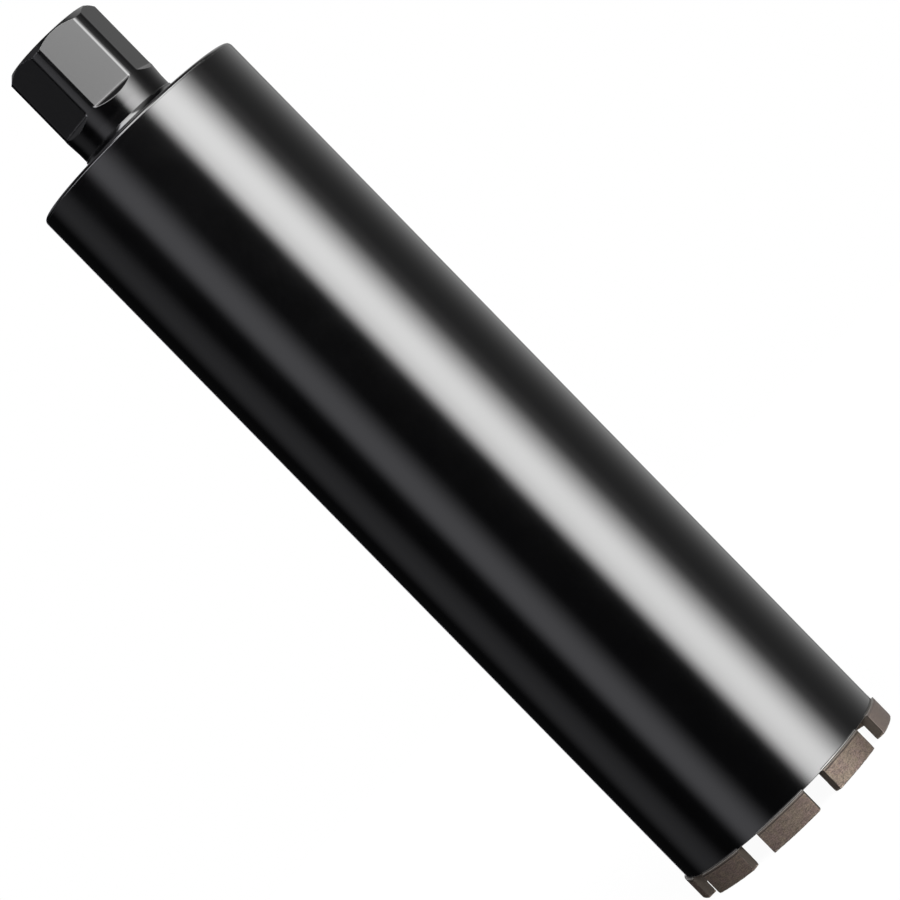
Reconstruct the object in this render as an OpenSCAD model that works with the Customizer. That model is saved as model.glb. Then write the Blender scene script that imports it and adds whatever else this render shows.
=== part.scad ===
// Wet core drill bit: a thin steel barrel closed at the top by an end plate,
// a threaded hub with six spanner flats, and nine sintered cutting segments
// on the lower rim.
//
// The bit stands on its crown. Z is the drilling axis and points up, from the
// crown towards the hub. The origin is on the axis, in the plane of the
// segment tips. All sizes are in millimetres.

/* [Barrel] */
// Outside diameter of the barrel
tube_od = 100; // [98.6:0.1:100.2]
// Wall of the barrel
tube_wall = 2; // [1.8:0.1:2.4]
// Length from the lower rim to the outer face of the end plate
barrel_len = 357.4; // [120:0.1:450]

/* [Crown] */
// Diameter over the segments, which is the hole that the bit drills
cut_d = 102; // [101:0.5:103]
// Radial thickness of a segment
seg_t = 3.8; // [3.5:0.1:4.5]
// Height of a segment below the rim
seg_h = 10; // [7:0.5:12]
// Length of a segment along the rim, between its parallel ends
seg_len = 24; // [18:0.5:28]
// Break on the long edges at a segment's tip
seg_break = 0.3; // [0.1:0.05:0.5]

/* [End plate] */
// Thickness of the plate inside the barrel, from its outer face
plate_t = 6; // [4:0.5:10]
// Thickness of the lip that covers the end of the barrel
lip_t = 1.65; // [1.65:0.05:2.5]
// Radius of the rounded outer edge
edge_r = 1.5; // [1:0.1:1.5]
// Height of the raised collar around the hub, above the plate
collar_h = 4.7; // [4:0.1:5]
// Radius of the hollow sweep from the plate up to the collar's lip
sweep_r = 5.5; // [5.2:0.1:6.5]
// Radius of the collar's rounded lip
collar_lip_r = 0.2; // [0.15:0.05:0.4]

/* [Hub] */
// Height of the hub above the plate
hub_h = 48.8; // [46:0.1:60]
// Radius of the round neck under the flats
neck_r = 22.2; // [22:0.05:22.3]
// Radius of the round strips between the flats
strip_r = 22.7; // [22.5:0.05:22.9]
// Size across the spanner flats
flats_af = 41.3; // [40:0.1:42]
// Height above the plate where the flats begin
flats_z = 15.7; // [15:0.1:20]
// Outer radius of the flat ring at the mouth
mouth_ring_r = 20.1; // [19.5:0.1:20.6]
// Angle of the first flat, counted from +X
flats_angle = 44; // [0:1:59]

/* [Spindle socket] */
// Radius of the socket, which just clears a 31.75 mm thread
socket_r = 15.9; // [15.8:0.05:16.1]
// Width of the chamfer at the mouth of the socket
socket_chamfer = 1.5; // [0.5:0.1:2]
// Width of the chamfer at the inner end of the socket
socket_exit_chamfer = 1; // [0.5:0.1:1.5]

/* [Hidden] */

$fn = 144;

tube_r = tube_od / 2;
bore_r = tube_r - tube_wall;       // inside of the barrel
cut_r = cut_d / 2;
face_z = seg_h + barrel_len;       // outer face of the end plate
seam_z = face_z - lip_t;           // where barrel and plate meet
plate_z = face_z - plate_t;        // inner face of the end plate
mouth_z = face_z + hub_h;          // mouth of the hub
seam_break = 0.1;                  // fine groove along the seam
lip_step = 0.1;                    // the lip's side sits this far inside
rim_break = 0.25;                  // break on the lower rim
seg_count = 9;
seg_pitch = 360 / seg_count;
seg_angle = 25;                    // centre of the first segment
ramp_slope = 1.1;                  // fall of a flat's run-out per mm outwards

// ---- barrel -------------------------------------------------------------

// A rolled tube with both ends faced square. The outer corner of each end is
// broken by a hair.
module tube_section() {
    polygon([
        [bore_r, seg_h],
        [tube_r - rim_break, seg_h],
        [tube_r, seg_h + rim_break],
        [tube_r, seam_z - seam_break],
        [tube_r - seam_break, seam_z],
        [bore_r, seam_z]
    ]);
}

module tube() {
    color([0.05, 0.05, 0.055])
        rotate_extrude() tube_section();
}

// ---- end plate ----------------------------------------------------------

// Half section. The plate fits inside the barrel, and its lip covers the
// barrel's end, a hair inside the outer wall. The collar rises from the flat
// in one round sweep and ends in a small rounded lip around the hub.
module end_plate_section() {
    lip_x = neck_r + collar_lip_r;             // centre of the lip's rounding
    lip_z = face_z + collar_h - collar_lip_r;
    rise = sweep_r - collar_h + collar_lip_r;  // lip's centre below the sweep's
    span = sqrt(pow(sweep_r + collar_lip_r, 2) - rise * rise);
    sweep_x = lip_x + span;                    // foot of the sweep
    join_z = lip_z + collar_lip_r * rise / (sweep_r + collar_lip_r);
    groove = collar_lip_r - 0.05;
    lip_r = tube_r - lip_step;                 // side of the lip
    edge_x = lip_r - edge_r;                   // centre of the edge's rounding
    difference() {
        union() {
            // body of the plate, with a small lead at its lower corner
            polygon([
                [neck_r, plate_z],
                [bore_r - 0.6, plate_z],
                [bore_r, plate_z + 0.6],
                [bore_r, face_z],
                [neck_r, face_z]
            ]);
            // lip over the barrel's end
            translate([bore_r - 2, seam_z])
                square([edge_x - bore_r + 2, lip_t]);
            translate([bore_r - 2, seam_z])
                square([lip_r - bore_r + 2, lip_t - edge_r]);
            intersection() {
                translate([edge_x, face_z - edge_r]) circle(r = edge_r);
                translate([edge_x, face_z - edge_r])
                    square([edge_r + 1, edge_r + 1]);
            }
            // collar: the hollow sweep runs into the lip's rounding
            difference() {
                translate([neck_r, face_z - 1])
                    square([sweep_x - neck_r, join_z - face_z + 1]);
                translate([sweep_x, face_z + sweep_r]) circle(r = sweep_r);
            }
            translate([neck_r, face_z])
                square([collar_lip_r, collar_h]);
            translate([lip_x, lip_z]) circle(r = collar_lip_r);
        }
        // fine groove between the collar and the neck
        polygon([
            [neck_r - 1, face_z + collar_h - groove - 1],
            [neck_r + groove + 0.1, face_z + collar_h + 0.1],
            [neck_r + groove + 0.1, face_z + collar_h + 2],
            [neck_r - 1, face_z + collar_h + 2]
        ]);
    }
}

module end_plate() {
    color([0.06, 0.06, 0.065])
        rotate_extrude() end_plate_section();
}

// ---- hub ----------------------------------------------------------------

// Half section of the turned blank: a neck that passes through the plate,
// a slight taper up to the flats, and the spindle socket right through.
module hub_section() {
    polygon([
        [socket_r + socket_exit_chamfer, plate_z],
        [neck_r - 0.5, plate_z],
        [neck_r, plate_z + 0.5],
        [neck_r, face_z + 9],
        [strip_r, face_z + 16],
        [strip_r, mouth_z - (strip_r - mouth_ring_r)],
        [mouth_ring_r, mouth_z],
        [socket_r + socket_chamfer, mouth_z],
        [socket_r, mouth_z - socket_chamfer],
        [socket_r, plate_z + socket_exit_chamfer]
    ]);
}

// What one pass of the cutter removes for a spanner flat. Its lower end runs
// out on a slope.
module flat_cut() {
    a = flats_af / 2;
    reach = 6;
    rotate([90, 0, 0])
        linear_extrude(height = 32, center = true)
            polygon([
                [a, face_z + flats_z],
                [a + reach, face_z + flats_z - reach * ramp_slope],
                [a + reach, mouth_z + 2],
                [a, mouth_z + 2]
            ]);
}

module hub() {
    color([0.09, 0.09, 0.095])
        difference() {
            rotate_extrude() hub_section();
            for (k = [0 : 5])
                rotate([0, 0, flats_angle + 60 * k]) flat_cut();
        }
}

// ---- cutting segments ---------------------------------------------------

// A segment is a short piece of a ring with parallel ends. Its foot sits on
// the barrel's rim, and it stands a little proud of the wall on both sides.
module segment_section() {
    r0 = cut_r - seg_t;
    polygon([
        [r0 + seg_break, 0],
        [cut_r - seg_break, 0],
        [cut_r, seg_break],
        [cut_r, seg_h],
        [r0, seg_h],
        [r0, seg_break]
    ]);
}

module segment(i) {
    color([0.62, 0.53, 0.42])
        rotate([0, 0, seg_angle + i * seg_pitch])
            intersection() {
                rotate_extrude() segment_section();
                translate([0, -seg_len / 2, -1])
                    cube([cut_r + 1, seg_len, seg_h + 2]);
            }
}

tube();
end_plate();
hub();
segment(0);  // segment_1
segment(1);  // segment_2
segment(2);  // segment_3
segment(3);  // segment_4
segment(4);  // segment_5
segment(5);  // segment_6
segment(6);  // segment_7
segment(7);  // segment_8
segment(8);  // segment_9
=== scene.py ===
import math

import bmesh
import bpy
from mathutils import Matrix, Vector
from mathutils import noise as mnoise


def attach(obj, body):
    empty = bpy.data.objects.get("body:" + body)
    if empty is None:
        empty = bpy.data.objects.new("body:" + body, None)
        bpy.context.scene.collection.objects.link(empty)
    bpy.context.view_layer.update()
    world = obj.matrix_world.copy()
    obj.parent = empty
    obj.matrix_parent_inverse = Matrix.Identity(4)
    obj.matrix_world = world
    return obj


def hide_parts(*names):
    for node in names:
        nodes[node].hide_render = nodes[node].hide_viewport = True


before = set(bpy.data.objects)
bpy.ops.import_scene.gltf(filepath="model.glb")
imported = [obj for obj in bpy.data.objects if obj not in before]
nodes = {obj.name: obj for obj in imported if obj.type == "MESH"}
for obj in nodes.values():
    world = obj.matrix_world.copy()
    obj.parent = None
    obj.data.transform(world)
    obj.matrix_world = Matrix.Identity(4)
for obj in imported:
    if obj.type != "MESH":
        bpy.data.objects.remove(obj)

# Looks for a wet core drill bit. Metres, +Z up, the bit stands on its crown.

scene = bpy.context.scene
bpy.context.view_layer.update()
MM = 0.001

# ---------------------------------------------------------------- sizes (mm)
RIM_Z = 10.0
FACE_Z = 367.4
PLATE_Z = 361.4
MOUTH_Z = 416.2
TUBE_R = 50.0
CUT_R = 51.0
SEG_IN_R = 47.2
SEG_ANGLE = 25.0
SEG_PITCH = 40.0
LIT_SEGMENT_ANGLE = -15.0  # middle of the segment painted paler, as painted light from the right
SEG_HALF = 12.0
NECK_R = 22.2
STRIP_R = 22.7
FLAT_X = 20.65
FLATS_Z = FACE_Z + 15.7
FLATS_ANGLE = 44.0
RING_R = 20.1
SOCKET_R = 15.9
THREAD_TOP_Z = 395.3
THREAD_LOW_Z = 363.0
THREAD_PITCH = 3.629
THREAD_CREST_R = 14.2


# ---------------------------------------------------------------- camera
# The tool's axis runs from upper left (hub) to lower right (crown).
CAM_AZ = math.radians(-87.55)
to_cam = Vector((math.cos(CAM_AZ), math.sin(CAM_AZ), 0.0))
right0 = Vector((-math.sin(CAM_AZ), math.cos(CAM_AZ), 0.0))
up0 = Vector((0.0, 0.0, 1.0))
CAM_POS = to_cam * 1.4638 + up0 * 0.22894
AIM = up0 * 0.19396 + right0 * 0.00050
view_dir = (AIM - CAM_POS).normalized()
side = view_dir.cross(up0).normalized()
over = side.cross(view_dir).normalized()
cx, cy = 0.71464, 0.69946
x_axis = side * cx - over * cy
y_axis = side * cy + over * cx
rot = Matrix((x_axis, y_axis, -view_dir)).transposed()
cam_data = bpy.data.cameras.new("photo_camera")
cam_data.sensor_fit = "HORIZONTAL"
cam_data.sensor_width = 36.0
cam_data.lens = 3758.5 / 900.0 * 36.0
cam_data.clip_start = 0.05
cam_data.clip_end = 60.0
cam = bpy.data.objects.new("photo_camera", cam_data)
scene.collection.objects.link(cam)
cam.matrix_world = Matrix.Translation(CAM_POS) @ rot.to_4x4()
scene.camera = cam

scene.view_settings.view_transform = "Standard"
scene.view_settings.look = "None"
scene.view_settings.exposure = 0.0
scene.view_settings.gamma = 1.0


# ---------------------------------------------------------------- node help
class Tree:
    """Small helper for building node trees."""

    def __init__(self, tree):
        self.t = tree
        self.n = tree.nodes
        self.n.clear()

    def add(self, kind, **props):
        node = self.n.new(kind)
        for k, v in props.items():
            setattr(node, k, v)
        return node

    def link(self, a, b):
        self.t.links.new(a, b)

    def put(self, socket, value):
        if isinstance(value, bpy.types.NodeSocket):
            self.link(value, socket)
        else:
            socket.default_value = value

    def math(self, op, a, b=None, c=None, clamp=False):
        node = self.add("ShaderNodeMath", operation=op, use_clamp=clamp)
        self.put(node.inputs[0], a)
        if b is not None:
            self.put(node.inputs[1], b)
        if c is not None:
            self.put(node.inputs[2], c)
        return node.outputs[0]

    def vmath(self, op, a, b=None):
        node = self.add("ShaderNodeVectorMath", operation=op)
        self.put(node.inputs[0], a)
        if b is not None:
            self.put(node.inputs[1], b)
        return node.outputs[0]

    def ramp(self, v, a, b, lo=0.0, hi=1.0, smooth=True):
        """lo below a, hi above b, with a soft change between them."""
        node = self.add(
            "ShaderNodeMapRange",
            interpolation_type="SMOOTHSTEP" if smooth else "LINEAR",
            clamp=True,
        )
        self.put(node.inputs["Value"], v)
        node.inputs["From Min"].default_value = a
        node.inputs["From Max"].default_value = b
        node.inputs["To Min"].default_value = lo
        node.inputs["To Max"].default_value = hi
        return node.outputs[0]

    def window(self, v, a0, a1, b0, b1):
        """0 below a0, 1 from a1 to b0, 0 above b1."""
        return self.math("MULTIPLY", self.ramp(v, a0, a1), self.ramp(v, b0, b1, 1.0, 0.0))

    def noise(self, vector, scale, detail=2.0, rough=0.5, lac=2.0, dist=0.0):
        node = self.add("ShaderNodeTexNoise")
        self.put(node.inputs["Vector"], vector)
        node.inputs["Scale"].default_value = scale
        node.inputs["Detail"].default_value = detail
        node.inputs["Roughness"].default_value = rough
        node.inputs["Lacunarity"].default_value = lac
        node.inputs["Distortion"].default_value = dist
        return node.outputs[0]

    def voronoi(self, vector, scale, feature="F1", out="Distance"):
        node = self.add("ShaderNodeTexVoronoi", feature=feature)
        self.put(node.inputs["Vector"], vector)
        node.inputs["Scale"].default_value = scale
        return node.outputs[out]

    def mix(self, fac, a, b):
        """Colour mix."""
        node = self.add("ShaderNodeMix", data_type="RGBA", blend_type="MIX")
        self.put(node.inputs[0], fac)
        self.put(node.inputs[6], a)
        self.put(node.inputs[7], b)
        return node.outputs[2]

    def mixf(self, fac, a, b):
        """Number mix."""
        node = self.add("ShaderNodeMix", data_type="FLOAT")
        self.put(node.inputs[0], fac)
        self.put(node.inputs[2], a)
        self.put(node.inputs[3], b)
        return node.outputs[0]

    def bump(self, height, distance, strength=1.0, normal=None):
        node = self.add("ShaderNodeBump")
        node.inputs["Strength"].default_value = strength
        node.inputs["Distance"].default_value = distance
        self.put(node.inputs["Height"], height)
        if normal is not None:
            self.link(normal, node.inputs["Normal"])
        return node.outputs[0]


# ---------------------------------------------------------------- studio light
LIGHT = 0.52


# One big soft light at the camera's right, a dim one at its left, black
# between them, a soft box above the camera, and a plain white surround.
def build_world():
    world = bpy.data.worlds.new("studio")
    scene.world = world
    world.use_nodes = True
    t = Tree(world.node_tree)
    out = t.add("ShaderNodeOutputWorld")
    tc = t.add("ShaderNodeTexCoord")
    turn = t.add("ShaderNodeVectorRotate", rotation_type="Z_AXIS")
    t.link(tc.outputs["Generated"], turn.inputs["Vector"])
    turn.inputs["Angle"].default_value = -(CAM_AZ + math.pi / 2)
    sep = t.add("ShaderNodeSeparateXYZ")
    t.link(turn.outputs[0], sep.inputs[0])
    az = t.math(
        "MULTIPLY",
        t.math("ARCTAN2", sep.outputs[0], t.math("MULTIPLY", sep.outputs[1], -1.0)),
        180.0 / math.pi,
    )
    el = t.math("MULTIPLY", t.math("ARCSINE", sep.outputs[2]), 180.0 / math.pi)

    def scaled(v, k):
        return t.math("MULTIPLY", v, k)

    def add(*vs):
        total = vs[0]
        for v in vs[1:]:
            total = t.math("ADD", total, v)
        return total

    side_height = t.math("MULTIPLY", t.ramp(el, 14.0, 27.0, 1.0, 0.10), t.ramp(el, -50.0, -20.0, 0.45, 1.0))
    slope = t.ramp(el, -35.0, 30.0, 0.75, 1.18, smooth=False)
    # main light
    lean = t.math("ADD", az, scaled(el, 0.11))
    main = t.math("MULTIPLY", t.ramp(lean, 14.8, 29.5), t.ramp(lean, 22.0, 40.0, 0.74, 1.0))
    main = t.math("MULTIPLY", main, t.ramp(lean, 44.0, 81.0, 1.0, 0.0))
    main = t.math("MULTIPLY", scaled(main, 16.6), slope)
    tail = scaled(t.window(az, 60.0, 72.0, 76.0, 94.0), 0.75)
    # fill at the left
    fill = scaled(t.window(az, -64.8, -48.8, -43.5, -18.5), 1.33)
    fill = t.math("MULTIPLY", fill, slope)
    far_left = scaled(t.window(az, -134.0, -106.0, -99.0, -78.0), 0.26)
    # right and back
    back_r = t.math(
        "MULTIPLY",
        t.window(az, 78.0, 94.0, 158.0, 172.0),
        t.ramp(az, 100.0, 145.0, 0.25, 0.64),
    )
    behind = scaled(t.ramp(t.math("ABSOLUTE", az), 166.0, 178.0), 3.0)
    sides = add(main, tail, fill, far_left, back_r, behind)
    sides = t.math("MULTIPLY", sides, side_height)
    # soft box above the camera, a low strip all round the front, and a ceiling
    high = t.math("MAXIMUM", sep.outputs[2], 0.05)
    across = t.math("DIVIDE", sep.outputs[0], high)
    forward = t.math("DIVIDE", t.math("MULTIPLY", sep.outputs[1], -1.0), high)
    box = t.math("MULTIPLY", t.window(across, -0.46, -0.30, 0.44, 0.62), t.window(forward, 0.54, 0.70, 1.45, 2.05))
    box = scaled(box, 13.0)
    bent = t.math("ADD", el, scaled(t.math("ABSOLUTE", az), 0.085))
    band = t.math("MULTIPLY", t.ramp(el, 15.0, 17.5), t.ramp(bent, 25.0, 28.0, 1.0, 0.0))
    band = t.math("MULTIPLY", band, t.window(az, -110.0, -90.0, 92.0, 108.0))
    band = scaled(band, 15.0)
    # a dim light high at the back, on both sides
    rear = t.math("MULTIPLY", t.window(t.math("ABSOLUTE", az), 112.0, 130.0, 164.0, 172.0), t.window(el, 14.0, 26.0, 50.0, 64.0))
    rear = t.math("MULTIPLY", rear, t.ramp(az, -10.0, 10.0, 0.3, 1.2))
    ceiling = t.math("MULTIPLY", t.window(el, 52.0, 68.0, 74.0, 84.0), 0.45)
    total = add(sides, t.math("MAXIMUM", box, band), rear, ceiling)
    total = t.math("ADD", scaled(total, LIGHT), 0.005)

    tint = t.add("ShaderNodeMix", data_type="RGBA", blend_type="MIX")
    t.put(tint.inputs[0], t.ramp(az, -30.0, 10.0))
    tint.inputs[6].default_value = (0.97, 0.97, 1.03, 1.0)
    tint.inputs[7].default_value = (1.0, 1.0, 1.0, 1.0)
    studio = t.add("ShaderNodeBackground")
    t.link(tint.outputs[2], studio.inputs["Color"])
    t.link(total, studio.inputs["Strength"])
    white = t.add("ShaderNodeBackground")
    white.inputs["Color"].default_value = (1.0, 1.0, 1.0, 1.0)
    white.inputs["Strength"].default_value = 1.0
    lp = t.add("ShaderNodeLightPath")
    mix = t.add("ShaderNodeMixShader")
    t.link(lp.outputs["Is Camera Ray"], mix.inputs[0])
    t.link(studio.outputs[0], mix.inputs[1])
    t.link(white.outputs[0], mix.inputs[2])
    t.link(mix.outputs[0], out.inputs["Surface"])


build_world()


# ---------------------------------------------------------------- materials
def new_material(name):
    mat = bpy.data.materials.new(name)
    mat.use_nodes = True
    t = Tree(mat.node_tree)
    out = t.add("ShaderNodeOutputMaterial")
    bsdf = t.add("ShaderNodeBsdfPrincipled")
    t.link(bsdf.outputs[0], out.inputs["Surface"])
    return mat, t, bsdf


def place(t):
    """Object position in millimetres, and the same in cylinder form."""
    tc = t.add("ShaderNodeTexCoord")
    mm = t.add("ShaderNodeVectorMath", operation="SCALE")
    t.link(tc.outputs["Object"], mm.inputs[0])
    mm.inputs["Scale"].default_value = 1000.0
    sep = t.add("ShaderNodeSeparateXYZ")
    t.link(mm.outputs[0], sep.inputs[0])
    x, y, z = sep.outputs
    r = t.math("SQRT", t.math("ADD", t.math("MULTIPLY", x, x), t.math("MULTIPLY", y, y)))
    ang = t.math("ARCTAN2", y, x)
    return mm.outputs[0], x, y, z, r, ang


def vector(t, x, y, z):
    node = t.add("ShaderNodeCombineXYZ")
    t.put(node.inputs[0], x)
    t.put(node.inputs[1], y)
    t.put(node.inputs[2], z)
    return node.outputs[0]


def enamel_surface(t, pos):
    """Height (in micrometres) and roughness of a sprayed black enamel."""
    peel = t.noise(pos, 0.55, 2.0, 0.45)
    fine = t.noise(pos, 3.2, 2.0, 0.5)
    height = t.math("ADD", t.math("MULTIPLY", peel, 1.6), t.math("MULTIPLY", fine, 0.12))
    patches = t.noise(pos, 0.06, 3.0, 0.5)
    rough = t.ramp(patches, 0.3, 0.7, 0.125, 0.155)
    dust = t.ramp(t.voronoi(pos, 0.16), 0.030, 0.045, 0.10, 0.0)
    rough = t.math("ADD", rough, dust)
    return height, rough


def enamel(t, b):
    """Clear top coat of the black enamel."""
    b.inputs["IOR"].default_value = 1.5
    b.inputs["Coat Weight"].default_value = 1.0
    b.inputs["Coat Roughness"].default_value = 0.13
    b.inputs["Coat IOR"].default_value = 1.5


def tube_material():
    mat, t, b = new_material("enamel_on_steel")
    pos, x, y, z, r, ang = place(t)
    height, rough = enamel_surface(t, pos)
    inside = t.ramp(r, 48.0, 48.4, 1.0, 0.0)
    # worn bright edge at the lower rim, ground back further over each segment
    turn = t.math("FLOORED_MODULO", t.math("SUBTRACT", ang, math.radians(5.0)), math.radians(40.0))
    across = t.math("MULTIPLY", r, t.math("SINE", t.math("SUBTRACT", turn, math.radians(20.0))))
    near = t.ramp(t.math("ABSOLUTE", across), 11.9, 12.3, 1.0, 0.0)
    wob = t.math("MULTIPLY", t.math("SUBTRACT", t.noise(pos, 0.9, 3.0), 0.5), 0.25)
    level = t.math("SUBTRACT", t.math("ADD", z, wob), t.math("MULTIPLY", near, 0.30))
    edge = t.ramp(level, 10.16, 10.30, 1.0, 0.0)
    edge = t.math("MULTIPLY", edge, t.ramp(t.math("ADD", r, wob), 49.46, 49.58))
    base = t.mix(inside, (0.0006, 0.0006, 0.0007, 1), (0.0016, 0.0016, 0.0016, 1))
    base = t.mix(edge, base, (0.25, 0.243, 0.235, 1))
    t.link(base, b.inputs["Base Color"])
    t.link(edge, b.inputs["Metallic"])
    # enamel dulled by the heat just above the ground band
    dull = t.math("MULTIPLY", near, t.window(level, 10.18, 10.32, 10.50, 10.75))
    dull = t.math("MULTIPLY", dull, t.math("SUBTRACT", 1.0, inside))
    rough = t.mixf(inside, rough, 0.62)
    rough = t.mixf(dull, rough, 0.60)
    rough = t.mixf(edge, rough, 0.45)
    t.link(rough, b.inputs["Roughness"])
    enamel(t, b)
    coat = t.math("SUBTRACT", 1.0, t.math("MAXIMUM", inside, edge))
    t.link(t.math("MULTIPLY", coat, t.math("SUBTRACT", 1.0, t.math("MULTIPLY", dull, 0.8))), b.inputs["Coat Weight"])
    scratch = t.noise(vector(t, t.math("MULTIPLY", ang, 3.0), t.math("MULTIPLY", z, 6.0), r), 1.0, 3.0)
    height = t.math("ADD", height, t.math("MULTIPLY", t.math("MULTIPLY", scratch, inside), 25.0))
    t.link(t.bump(height, 1e-6), b.inputs["Normal"])
    return mat


def plate_material():
    mat, t, b = new_material("enamel_on_plate")
    pos, x, y, z, r, ang = place(t)
    height, rough = enamel_surface(t, pos)
    under = t.ramp(z, PLATE_Z + 0.2, PLATE_Z + 0.6, 1.0, 0.0)
    base = t.mix(under, (0.0006, 0.0006, 0.0007, 1), (0.0016, 0.0016, 0.0016, 1))
    t.link(base, b.inputs["Base Color"])
    rough = t.mixf(under, rough, 0.6)
    t.link(rough, b.inputs["Roughness"])
    enamel(t, b)
    t.link(t.math("SUBTRACT", 1.0, under), b.inputs["Coat Weight"])
    t.link(t.bump(height, 1e-6), b.inputs["Normal"])
    return mat


def hub_material():
    mat, t, b = new_material("enamel_on_hub")
    pos, x, y, z, r, ang = place(t)
    height, rough = enamel_surface(t, pos)
    wob = t.math("MULTIPLY", t.math("SUBTRACT", t.noise(pos, 1.1, 3.0), 0.5), 0.12)
    face = t.math("MULTIPLY", t.ramp(z, MOUTH_Z - 0.05, MOUTH_Z - 0.02), t.ramp(t.math("ADD", r, wob), RING_R - 0.13, RING_R - 0.07, 1.0, 0.0))
    lead = t.math("MULTIPLY", t.ramp(z, MOUTH_Z - 1.6, MOUTH_Z - 1.5), t.ramp(r, 17.42, 17.52, 1.0, 0.0))
    bare = t.math("MAXIMUM", face, lead)
    # turned steel: fine rings with a little grain
    turned = t.noise(vector(t, t.math("MULTIPLY", r, 9.0), t.math("MULTIPLY", ang, 1.2), t.math("MULTIPLY", z, 9.0)), 1.0, 3.0, 0.6)
    grain = t.noise(pos, 5.0, 3.0, 0.6)
    steel = t.mix(grain, (0.66, 0.66, 0.66, 1), (0.92, 0.92, 0.92, 1))
    bore = t.math("MULTIPLY", t.ramp(r, 16.2, 16.5, 1.0, 0.0), t.ramp(z, MOUTH_Z - 1.7, MOUTH_Z - 1.6, 1.0, 0.0))
    base = t.mix(bore, (0.0006, 0.0006, 0.0007, 1), (0.006, 0.006, 0.006, 1))
    base = t.mix(bare, base, steel)
    t.link(base, b.inputs["Base Color"])
    t.link(t.math("MULTIPLY", bare, 0.55), b.inputs["Metallic"])
    rough = t.mixf(bore, rough, 0.28)
    rough = t.mixf(bare, rough, t.math("ADD", 0.36, t.math("MULTIPLY", grain, 0.20)))
    t.link(rough, b.inputs["Roughness"])
    enamel(t, b)
    # the paint is glossiest where it is drawn thin over the flats' long edges
    turn = t.math("FLOORED_MODULO", t.math("SUBTRACT", ang, math.radians(FLATS_ANGLE - 30.0)), math.radians(60.0))
    turn = t.math("ABSOLUTE", t.math("SUBTRACT", turn, math.radians(30.0)))
    thin = t.window(turn, math.radians(22.6), math.radians(23.1), math.radians(24.9), math.radians(25.4))
    thin = t.math("MULTIPLY", thin, t.window(z, FLATS_Z - 0.6, FLATS_Z, MOUTH_Z - 3.0, MOUTH_Z - 2.6))
    gloss = t.mixf(thin, 0.3, 0.95)
    t.link(t.math("MULTIPLY", t.math("SUBTRACT", 1.0, t.math("MAXIMUM", bare, bore)), gloss), b.inputs["Coat Weight"])
    cutm = t.math("ADD", t.math("MULTIPLY", turned, 14.0), t.math("MULTIPLY", grain, 8.0))
    height = t.math("ADD", height, t.math("MULTIPLY", cutm, bare))
    t.link(t.bump(height, 1e-6), b.inputs["Normal"])
    return mat


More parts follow.
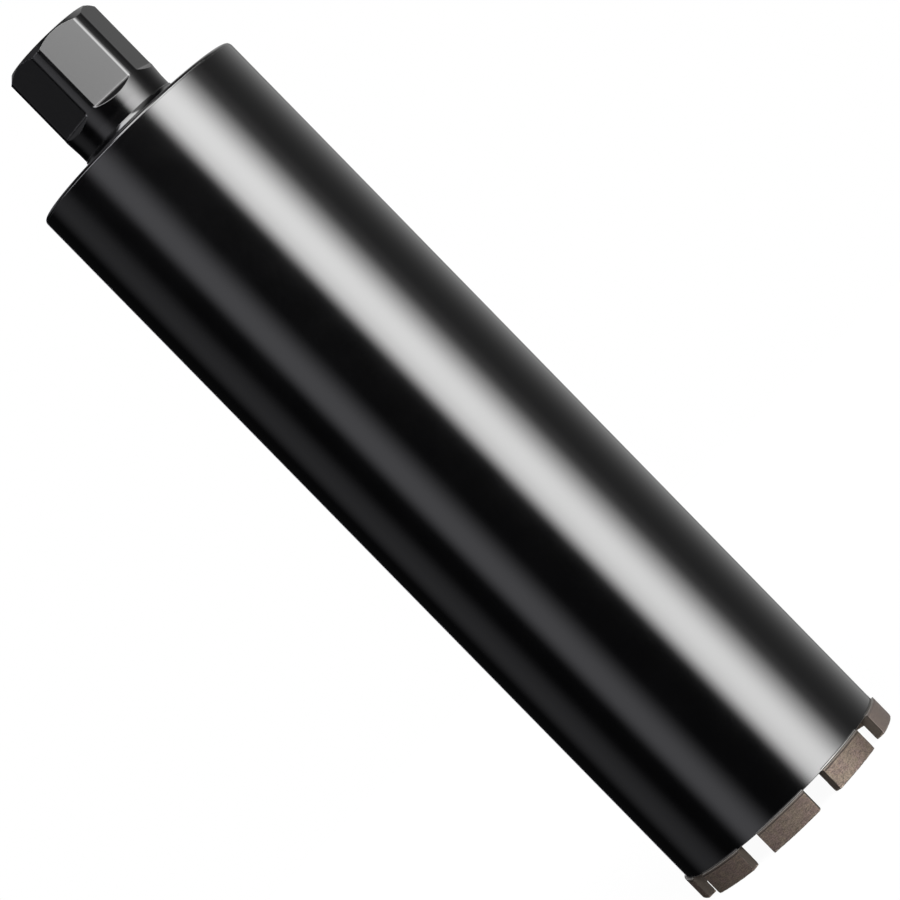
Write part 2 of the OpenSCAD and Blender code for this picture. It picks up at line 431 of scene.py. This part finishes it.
def segment_material():
    mat, t, b = new_material("sintered_bronze")
    pos, x, y, z, r, ang = place(t)
    along = t.math("MULTIPLY", ang, 50.0)
    brush = t.noise(vector(t, t.math("MULTIPLY", along, 0.5), t.math("MULTIPLY", z, 2.4), t.math("MULTIPLY", r, 2.4)), 1.0, 4.0, 0.6)
    grain = t.noise(pos, 2.1, 5.0, 0.72)
    fine = t.noise(pos, 6.5, 3.0, 0.65)
    blotch = t.noise(pos, 0.30, 3.0, 0.55)
    mixv = t.math("ADD", t.math("MULTIPLY", brush, 0.30), t.math("MULTIPLY", grain, 0.70))
    v = t.ramp(mixv, 0.38, 0.62)
    outer = t.ramp(r, 50.3, 50.8)
    tip = t.ramp(z, 0.15, 1.1, 1.0, 0.0)
    sandy = t.mix(v, (0.047, 0.036, 0.028, 1), (0.160, 0.127, 0.097, 1))
    rosy = t.mix(v, (0.049, 0.035, 0.029, 1), (0.148, 0.110, 0.094, 1))
    col = t.mix(t.ramp(blotch, 0.40, 0.60), sandy, rosy)
    brown = t.mix(v, (0.110, 0.080, 0.058, 1), (0.200, 0.150, 0.112, 1))
    col = t.mix(outer, brown, col)
    # painted shade: the parallel ends are painted darker than the ground faces, standing in for the shadow on them
    turn = t.math("FLOORED_MODULO", t.math("SUBTRACT", ang, math.radians(5.0)), math.radians(40.0))
    across = t.math("MULTIPLY", r, t.math("SINE", t.math("SUBTRACT", turn, math.radians(20.0))))
    painted_shade_ends = t.ramp(t.math("ABSOLUTE", across), 11.90, 11.96)
    # plain foot at the rim, with painted shade in a shallow groove under it and a painted highlight on the ledge on
    # top
    foot = t.ramp(z, 9.46, 9.58)
    col = t.mix(t.math("MULTIPLY", foot, 0.45), col, (0.105, 0.094, 0.084, 1))
    # painted shade: a dark band under the foot, over the shallow groove that the bump below cuts
    shaded_groove = t.window(t.math("ADD", z, t.math("MULTIPLY", t.math("SUBTRACT", grain, 0.5), 0.25)), 9.00, 9.12, 9.42, 9.54)
    shaded_groove = t.math("MULTIPLY", shaded_groove, outer)
    # dark grit and rusty grains
    grit = t.ramp(t.voronoi(pos, 1.15), 0.10, 0.30, 1.0, 0.0)
    col = t.mix(t.math("MULTIPLY", grit, 0.62), col, (0.026, 0.021, 0.018, 1))
    rust = t.ramp(t.voronoi(t.vmath("ADD", pos, (3.7, 1.9, 5.3)), 0.80), 0.08, 0.26, 1.0, 0.0)
    rust = t.math("MULTIPLY", rust, t.ramp(fine, 0.40, 0.55))
    col = t.mix(t.math("MULTIPLY", rust, 0.60), col, (0.150, 0.086, 0.046, 1))
    # painted shade in the groove under the foot
    col = t.mix(t.math("MULTIPLY", shaded_groove, 0.88), col, (0.016, 0.013, 0.011, 1))
    # painted shade: the segment ends are pulled dark here
    col = t.mix(t.math("MULTIPLY", painted_shade_ends, 0.80), col, (0.018, 0.015, 0.012, 1))
    # painted light: the segment that faces the bright light at the right is painted paler than the rest
    pale = t.ramp(t.math("COSINE", t.math("SUBTRACT", ang, math.radians(LIT_SEGMENT_ANGLE))), math.cos(math.radians(19.0)), math.cos(math.radians(18.0)))
    pale = t.math("MULTIPLY", t.math("MULTIPLY", pale, outer), t.math("SUBTRACT", 1.0, painted_shade_ends))
    col = t.mix(t.math("MULTIPLY", pale, 0.32), col, (0.34, 0.285, 0.262, 1))
    # painted highlight: the up-facing ledge on top of the segment is painted lighter, as if light fell on it
    painted_highlight_ledge = t.math("MULTIPLY", t.ramp(z, 9.90, 9.97), t.ramp(r, 49.9, 50.0))
    col = t.mix(painted_highlight_ledge, col, (0.23, 0.218, 0.203, 1))
    # broken bronze grains along the tip catch the light
    spark = t.math("MULTIPLY", t.ramp(t.voronoi(pos, 2.0), 0.14, 0.32, 1.0, 0.0), tip)
    spark = t.math("MULTIPLY", spark, t.ramp(blotch, 0.34, 0.48))
    col = t.mix(t.math("MULTIPLY", spark, 0.9), col, (0.70, 0.62, 0.52, 1))
    t.link(col, b.inputs["Base Color"])
    metal = t.math("MAXIMUM", t.math("MULTIPLY", t.ramp(grain, 0.35, 0.65, 0.58, 0.84), t.mixf(outer, 0.55, 1.0)), t.math("MULTIPLY", spark, 0.5))
    t.link(metal, b.inputs["Metallic"])
    rough = t.ramp(grain, 0.3, 0.7, 0.66, 0.50)
    rough = t.mixf(spark, rough, 0.30)
    t.link(rough, b.inputs["Roughness"])
    height = t.math("ADD", t.math("MULTIPLY", brush, 12.0), t.math("MULTIPLY", grain, 26.0))
    height = t.math("ADD", height, t.math("MULTIPLY", fine, 9.0))
    height = t.math("ADD", height, t.math("MULTIPLY", t.math("MULTIPLY", grain, tip), 70.0))
    height = t.math("SUBTRACT", height, t.math("MULTIPLY", shaded_groove, 60.0))
    t.link(t.bump(height, 1e-6), b.inputs["Normal"])
    return mat


def steel_material(name, low, high, rough_lo, rough_hi):
    mat, t, b = new_material(name)
    pos, x, y, z, r, ang = place(t)
    streak = t.noise(vector(t, t.math("MULTIPLY", ang, 2.0), t.math("MULTIPLY", z, 5.0), t.math("MULTIPLY", r, 5.0)), 1.0, 4.0, 0.6)
    grain = t.noise(pos, 3.5, 4.0, 0.6)
    v = t.math("ADD", t.math("MULTIPLY", streak, 0.6), t.math("MULTIPLY", grain, 0.4))
    t.link(t.mix(t.ramp(v, 0.3, 0.7), low, high), b.inputs["Base Color"])
    b.inputs["Metallic"].default_value = 1.0
    t.link(t.ramp(v, 0.3, 0.7, rough_lo, rough_hi), b.inputs["Roughness"])
    t.link(t.bump(t.math("MULTIPLY", v, 14.0), 1e-6), b.inputs["Normal"])
    return mat


MAT_TUBE = tube_material()
MAT_PLATE = plate_material()
MAT_HUB = hub_material()
MAT_SEG = segment_material()
MAT_STEEL = steel_material("cut_steel", (0.42, 0.41, 0.40, 1), (0.72, 0.71, 0.70, 1), 0.36, 0.24)
MAT_WELD = steel_material("weld_metal", (0.20, 0.19, 0.18, 1), (0.40, 0.385, 0.37, 1), 0.55, 0.42)


def dress(obj, mat):
    for s in obj.material_slots:
        s.material = mat
    if not obj.material_slots:
        obj.data.materials.append(mat)


dress(nodes["tube"], MAT_TUBE)


# ---------------------------------------------------------------- mesh help
def mesh_object(name, bm, mat, sharp=None):
    bmesh.ops.recalc_face_normals(bm, faces=bm.faces)
    me = bpy.data.meshes.new(name)
    bm.to_mesh(me)
    bm.free()
    me.shade_smooth()
    if sharp is not None:
        me.set_sharp_from_angle(angle=math.radians(sharp))
    ob = bpy.data.objects.new(name, me)
    scene.collection.objects.link(ob)
    me.materials.append(mat)
    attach(ob, "root")
    return ob


def smooth_min(a, b, k):
    h = max(k - abs(a - b), 0.0) / k
    return min(a, b) - h * h * k * 0.25


def steps(a, b, d):
    n = max(1, int(round((b - a) / d)))
    return [a + (b - a) * i / n for i in range(n)]


# ---------------------------------------------------------------- end plate
def build_plate():
    """The end plate as one fine turned surface, so its edges shine evenly."""
    cols = 640
    lip_t, edge_r, lip_step = 1.65, 1.5, 0.1
    collar_h, sweep_r, lip_r = 4.7, 5.5, 0.2
    bore_r = TUBE_R - 2.0
    side_r = TUBE_R - lip_step
    edge_x = side_r - edge_r
    lip_x = NECK_R + lip_r
    lip_z = FACE_Z + collar_h - lip_r
    rise = sweep_r - collar_h + lip_r
    span = math.sqrt((sweep_r + lip_r) ** 2 - rise * rise)
    sweep_x = lip_x + span
    tilt = math.degrees(math.atan2(rise, span))
    profile = [
        (NECK_R, PLATE_Z),
        (NECK_R + 8.0, PLATE_Z),
        (bore_r - 8.0, PLATE_Z),
        (bore_r - 0.6, PLATE_Z),
        (bore_r, PLATE_Z + 0.6),
        (bore_r, FACE_Z - lip_t),
        (side_r - 0.04, FACE_Z - lip_t),
        (side_r, FACE_Z - lip_t + 0.04),
    ]
    for k in range(17):
        a = math.radians(90.0 * k / 16)
        profile.append((edge_x + edge_r * math.cos(a), FACE_Z - edge_r + edge_r * math.sin(a)))
    for k in range(1, 8):
        profile.append((edge_x + (sweep_x - edge_x) * k / 8.0, FACE_Z))
    for k in range(31):
        a = math.radians(270.0 + (180.0 + tilt - 270.0) * k / 30)
        profile.append((sweep_x + sweep_r * math.cos(a), FACE_Z + sweep_r + sweep_r * math.sin(a)))
    for k in range(1, 13):
        a = math.radians(tilt + (140.0 - tilt) * k / 12)
        profile.append((lip_x + lip_r * math.cos(a), lip_z + lip_r * math.sin(a)))
    profile.append((NECK_R + 0.02, lip_z + 0.05))
    profile.append((NECK_R, lip_z - 0.10))
    profile.append((NECK_R, FACE_Z - 1.0))
    bm = bmesh.new()
    rings = []
    for r, z in profile:
        ring = []
        for c in range(cols):
            a = 2 * math.pi * c / cols
            ring.append(bm.verts.new((r * math.cos(a) * MM, r * math.sin(a) * MM, z * MM)))
        rings.append(ring)
    n = len(rings)
    for i in range(n):
        lo_, hi_ = rings[i], rings[(i + 1) % n]
        for c in range(cols):
            d = (c + 1) % cols
            bm.faces.new((lo_[c], lo_[d], hi_[d], hi_[c]))
    ob = mesh_object("plate_body", bm, MAT_PLATE, sharp=26.0)
    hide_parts("end_plate")
    return ob


build_plate()


# ---------------------------------------------------------------- hub
def build_hub():
    """The turned hub with its six flats, every edge softened by the paint."""
    # angles from the middle of a flat, closer together over its soft edges
    offs = steps(-30.0, -28.0, 0.5) + steps(-28.0, -22.0, 0.2) + steps(-22.0, 22.0, 0.6)
    offs += steps(22.0, 28.0, 0.2) + steps(28.0, 30.0, 0.5)
    turns = [(60.0 * f + off, off) for f in range(6) for off in offs]
    cols = len(turns)
    corner = math.degrees(math.acos(FLAT_X / STRIP_R))

    def blank(z):
        k = (z - FACE_Z - 9.0) / 7.0
        wall = NECK_R + (STRIP_R - NECK_R) * min(1.0, max(0.0, k))
        return wall

    def flat(z):
        # the flat's own plane, then the run-out below it
        d = (FLATS_Z - z) / 1.1
        return FLAT_X + 0.5 * (d + math.sqrt(d * d + 0.09))

    def outline(z):
        p, x = blank(z), flat(z)
        row = []
        above = min(1.0, max(0.0, z - FLATS_Z))
        for _, off in turns:
            # the strips are polished down a little towards the flats
            v = math.radians(abs(off) - corner) * STRIP_R
            fall = above * 0.10 * max(0.0, 1.0 - max(0.0, v) / 1.3) ** 2
            side_wall = smooth_min(p - fall, x / math.cos(math.radians(off)), 0.18)
            row.append(smooth_min(side_wall, RING_R + (MOUTH_Z - z), 0.04))
        return row

    levels = [PLATE_Z + 0.5, FACE_Z - 3.0, FACE_Z, FACE_Z + 3, FACE_Z + 6, FACE_Z + 8.6]
    levels += [FACE_Z + 9.0, FACE_Z + 9.4, FACE_Z + 10.6, FACE_Z + 11.8]
    levels += steps(FACE_Z + 12.8, FACE_Z + 17.2, 0.115)
    levels += [FACE_Z + 17.2, FACE_Z + 17.7, FACE_Z + 19, FACE_Z + 22, FACE_Z + 26, FACE_Z + 31, FACE_Z + 36]
    levels += [FACE_Z + 41, FACE_Z + 43.5, FACE_Z + 45]
    levels += steps(MOUTH_Z - 3.1, MOUTH_Z, 0.1) + [MOUTH_Z]
    rows = [(outline(z), z) for z in levels]
    for rr, zz in (
        (18.9, MOUTH_Z),
        (SOCKET_R + 1.56, MOUTH_Z),
        (SOCKET_R + 1.50, MOUTH_Z - 0.03),
        (SOCKET_R + 1.44, MOUTH_Z - 0.06),
        (SOCKET_R + 0.06, MOUTH_Z - 1.44),
        (SOCKET_R, MOUTH_Z - 1.56),
        (SOCKET_R, MOUTH_Z - 10.0),
        (SOCKET_R, MOUTH_Z - 22.0),
        (SOCKET_R, MOUTH_Z - 38.0),
        (SOCKET_R, PLATE_Z + 1.0),
        (SOCKET_R + 1.0, PLATE_Z),
        (NECK_R - 0.5, PLATE_Z),
    ):
        rows.append(([rr] * cols, zz))
    bm = bmesh.new()
    rings = []
    for radii, z in rows:
        ring = []
        for c in range(cols):
            a = math.radians(FLATS_ANGLE + turns[c][0])
            ring.append(bm.verts.new((radii[c] * math.cos(a) * MM, radii[c] * math.sin(a) * MM, z * MM)))
        rings.append(ring)
    n = len(rings)
    for i in range(n):
        lo_, hi_ = rings[i], rings[(i + 1) % n]
        for c in range(cols):
            d = (c + 1) % cols
            bm.faces.new((lo_[c], lo_[d], hi_[d], hi_[c]))
    ob = mesh_object("hub_body", bm, MAT_HUB, sharp=24.0)
    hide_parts("hub")
    return ob


build_hub()


# ---------------------------------------------------------------- segments
def build_segment(index):
    """A sintered segment with worn edges, roughest at its tip."""
    seed = Vector((index * 7.31, index * 3.17, index * 5.77))
    mid = math.radians(SEG_ANGLE + (index - 1) * SEG_PITCH)
    er = Vector((math.cos(mid), math.sin(mid), 0.0))
    et = Vector((-math.sin(mid), math.cos(mid), 0.0))

    def graded(a, b, step):
        edge = [0.0, 0.07, 0.15, 0.25, 0.38, 0.54]
        inner = steps(a + 0.75, b - 0.75, step) + [b - 0.75]
        return [a + e for e in edge] + inner + [b - e for e in reversed(edge)]

    axes = [
        graded(-SEG_HALF, SEG_HALF, 0.33),
        graded(SEG_IN_R, CUT_R, 0.33),
        graded(0.0, RIM_Z, 0.33),
    ]
    lows = (-SEG_HALF, SEG_IN_R, 0.0)
    highs = (SEG_HALF, CUT_R, RIM_Z)
    sizes = [len(a) for a in axes]
    bm = bmesh.new()
    made = {}

    def vert(i, j, k):
        key = (i, j, k)
        if key in made:
            return made[key]
        p = [axes[0][i], axes[1][j], axes[2][k]]
        n3 = Vector((p[0], p[1], p[2]))
        tip = max(0.0, 1.0 - p[2] / 1.4)
        foot = max(0.0, (p[2] - 9.2) / 0.8)
        wear = mnoise.noise(n3 * 0.55 + seed)
        chip = mnoise.noise(n3 * 1.35 + seed * 1.7)
        rad = 0.20 + 0.07 * wear
        rad += tip * (0.14 + 0.30 * max(0.0, wear) + 0.22 * max(0.0, chip))
        rad = max(0.05, rad * (1.0 - foot) + 0.06 * foot)
        q = [min(max(p[a], lows[a] + rad), highs[a] - rad) for a in range(3)]
        d = Vector([p[a] - q[a] for a in range(3)])
        length = d.length
        if length > 1e-9:
            d /= length
            grit = 0.5 + 0.5 * mnoise.noise(n3 * 1.5 + seed * 2.1)
            pit = max(0.0, mnoise.noise(n3 * 0.8 + seed * 0.6) - 0.18)
            inward = (0.020 * grit + 0.10 * tip * grit + 0.10 * pit) * (1.0 - foot)
            p = [q[a] + d[a] * (rad - inward) for a in range(3)]
        u, w, z = p
        co = er * math.sqrt(max(w * w - u * u, 0.0)) + et * u + Vector((0.0, 0.0, z))
        made[key] = bm.verts.new(co * MM)
        return made[key]

    for fixed in range(3):
        a, b = [x for x in range(3) if x != fixed]
        for side_ in (0, sizes[fixed] - 1):
            for i in range(sizes[a] - 1):
                for j in range(sizes[b] - 1):
                    quad = []
                    for di, dj in ((0, 0), (1, 0), (1, 1), (0, 1)):
                        key = [0, 0, 0]
                        key[fixed], key[a], key[b] = side_, i + di, j + dj
                        quad.append(vert(*key))
                    bm.faces.new(quad)
    ob = mesh_object("cut_segment_%d" % index, bm, MAT_SEG)
    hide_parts("segment_%d" % index)
    return ob


for i in range(1, 10):
    build_segment(i)


# ---------------------------------------------------------------- spindle thread
def build_thread():
    """A helical ridge that lines the socket below its plain mouth."""
    steps = 96
    z_top, z_low = THREAD_TOP_Z, THREAD_LOW_Z
    turns = (z_top - z_low) / THREAD_PITCH
    count = int(turns * steps)
    root = SOCKET_R + 0.02
    verts, faces = [], []
    half_root, half_crest = THREAD_PITCH * 0.40, THREAD_PITCH * 0.085
    prof = [
        (root, -half_root),
        (THREAD_CREST_R + 0.12, -half_crest - 0.10),
        (THREAD_CREST_R, -half_crest + 0.04),
        (THREAD_CREST_R, half_crest - 0.04),
        (THREAD_CREST_R + 0.12, half_crest + 0.10),
        (root, half_root),
    ]
    n = len(prof)
    for i in range(count + 1):
        a = 2 * math.pi * i / steps
        f = min(1.0, i / (steps * 0.35), (count - i) / (steps * 0.35))
        f = f * f * (3 - 2 * f)
        zc = z_top - half_root - THREAD_PITCH * i / steps
        # right-hand thread: going down, the ridge turns clockwise from above
        ca, sa = math.cos(-a + 0.6), math.sin(-a + 0.6)
        for rr, dz in prof:
            r = root - (root - rr) * f
            verts.append((r * ca * MM, r * sa * MM, (zc + dz * (0.25 + 0.75 * f)) * MM))
    for i in range(count):
        for k in range(n - 1):
            a0, a1 = i * n + k, i * n + k + 1
            b0, b1 = a0 + n, a1 + n
            faces.append((a0, b0, b1, a1))
        # back of the ridge, against the wall
        a0, a1 = i * n + n - 1, i * n
        faces.append((a0, a0 + n, a1 + n, a1))
    faces.append(tuple(range(n)))
    faces.append(tuple(reversed(range(count * n, count * n + n))))
    bm = bmesh.new()
    made = [bm.verts.new(v) for v in verts]
    for face in faces:
        bm.faces.new([made[i] for i in face])
    return mesh_object("hub_thread", bm, MAT_STEEL, sharp=32.0)


build_thread()


# ---------------------------------------------------------------- weld spots
def build_weld_spots():
    """Small beads of weld metal at the feet of the segments."""
    bm = bmesh.new()
    for s in range(9):
        mid = SEG_ANGLE + s * SEG_PITCH
        for e in (-1, 1):
            ang = math.radians(mid + e * (math.degrees(math.asin(SEG_HALF / TUBE_R)) + 0.12))
            seed = Vector((s * 3.1, e * 1.7, 0.4))
            size = 0.24 + 0.10 * mnoise.noise(seed)
            r0 = 49.35 + 0.2 * mnoise.noise(seed * 2.3)
            centre = Vector((r0 * math.cos(ang), r0 * math.sin(ang), 9.95)) * MM
            got = bmesh.ops.create_icosphere(bm, subdivisions=3, radius=1.0)
            radial = Vector((math.cos(ang), math.sin(ang), 0))
            tangent = Vector((-math.sin(ang), math.cos(ang), 0))
            for v in got["verts"]:
                p = v.co.copy()
                k = 1.0 + 0.25 * mnoise.noise(p * 1.7 + seed)
                v.co = centre + (radial * p.x * 0.9 + tangent * p.y * 1.1 + Vector((0, 0, 1)) * p.z * 0.75) * size * k * MM
    return mesh_object("weld_spots", bm, MAT_WELD)


build_weld_spots()


# ---------------------------------------------------------------- floor
def build_floor():
    me = bpy.data.meshes.new("floor")
    ring = [(1.6 * math.cos(2 * math.pi * k / 96), 1.6 * math.sin(2 * math.pi * k / 96), -0.0002) for k in range(96)]
    me.from_pydata(ring, [], [tuple(range(96))])
    ob = bpy.data.objects.new("floor", me)
    scene.collection.objects.link(ob)
    mat = bpy.data.materials.new("pale_floor")
    mat.use_nodes = True
    t = Tree(mat.node_tree)
    out = t.add("ShaderNodeOutputMaterial")
    diff = t.add("ShaderNodeBsdfDiffuse")
    tc = t.add("ShaderNodeTexCoord")
    speck = t.noise(tc.outputs["Object"], 40.0, 2.0)
    t.link(t.mix(speck, (0.050, 0.050, 0.050, 1), (0.056, 0.056, 0.056, 1)), diff.inputs["Color"])
    glow = t.add("ShaderNodeEmission")
    glow.inputs["Color"].default_value = (1.0, 1.0, 1.0, 1.0)
    glow.inputs["Strength"].default_value = 0.955
    pale = t.add("ShaderNodeAddShader")
    t.link(diff.outputs[0], pale.inputs[0])
    t.link(glow.outputs[0], pale.inputs[1])
    clear = t.add("ShaderNodeBsdfTransparent")
    geo = t.add("ShaderNodeNewGeometry")
    mix = t.add("ShaderNodeMixShader")
    t.link(geo.outputs["Backfacing"], mix.inputs[0])
    t.link(pale.outputs[0], mix.inputs[1])
    t.link(clear.outputs[0], mix.inputs[2])
    t.link(mix.outputs[0], out.inputs["Surface"])
    me.materials.append(mat)
    ob.visible_glossy = False
    return ob


build_floor()


bpy.context.view_layer.update()
